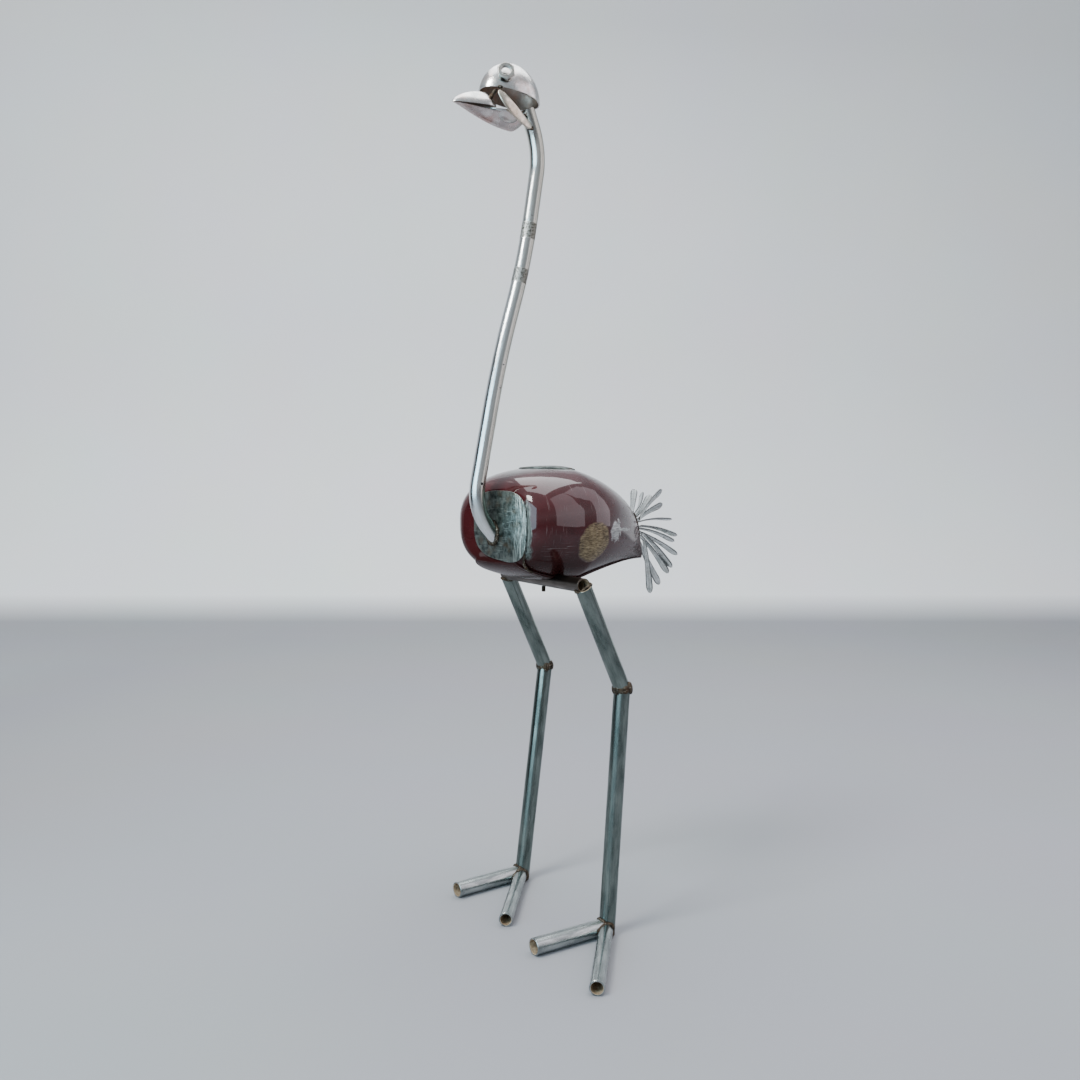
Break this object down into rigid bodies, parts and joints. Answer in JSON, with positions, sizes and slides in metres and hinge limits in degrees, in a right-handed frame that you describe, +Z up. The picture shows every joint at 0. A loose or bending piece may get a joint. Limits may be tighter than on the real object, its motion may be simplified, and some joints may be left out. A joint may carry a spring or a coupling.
{
  "type": "scrap metal ostrich sculpture",
  "caption": "Standing ostrich welded from scrap: a dark red tank for a body, a long bent chromed tube for a neck, tube legs, spoon bowls for a head and spoon handles for a tail.",
  "frame": {"origin": "middle of the bird's bounding box in plan, on the floor it stands on", "axes": "the bird faces -Y, its left side is +X, +Z up"},
  "size_m": [0.362, 0.4486, 1.146],
  "materials": {
    "maroon_paint": "gloss",
    "ground_steel": "ground bare steel",
    "chrome_plate": "worn bright plating",
    "leg_steel": "drawn tube, heat tinted at the welds",
    "spoon_steel": "polished",
    "handle_steel": "polished, scratched",
    "weld_metal": "dark weld metal"
  },
  "bodies": {
    "root": {"tank_body": "maroon_paint", "chest_plate": "ground_steel", "filler_cover": "ground_steel", "neck_tube": "chrome_plate", "hip_tube": "leg_steel", "bolt_stub": "leg_steel", "left_thigh": "leg_steel", "right_thigh": "leg_steel", "left_shin": "leg_steel", "right_shin": "leg_steel", "left_forward_toe": "leg_steel", "left_side_toe": "leg_steel", "right_forward_toe": "leg_steel", "right_side_toe": "leg_steel", "crown_bowl": "spoon_steel", "upper_bill_spoon": "spoon_steel", "lower_bill_spoon": "spoon_steel", "throat_bowl": "spoon_steel", "head_strap": "spoon_steel", "left_eye_nut": "weld_metal", "right_eye_nut": "weld_metal", "tail_weld": "weld_metal", "tail_handle_01": "handle_steel", "tail_handle_02": "handle_steel", "tail_handle_03": "handle_steel", "tail_handle_04": "handle_steel", "tail_handle_05": "handle_steel", "tail_handle_06": "handle_steel", "tail_handle_07": "handle_steel", "tail_handle_08": "handle_steel", "tail_handle_09": "handle_steel", "tail_handle_10": "handle_steel", "tail_handle_11": "handle_steel", "tail_handle_12": "handle_steel", "tail_handle_13": "handle_steel"}
  },
  "joints": []
}
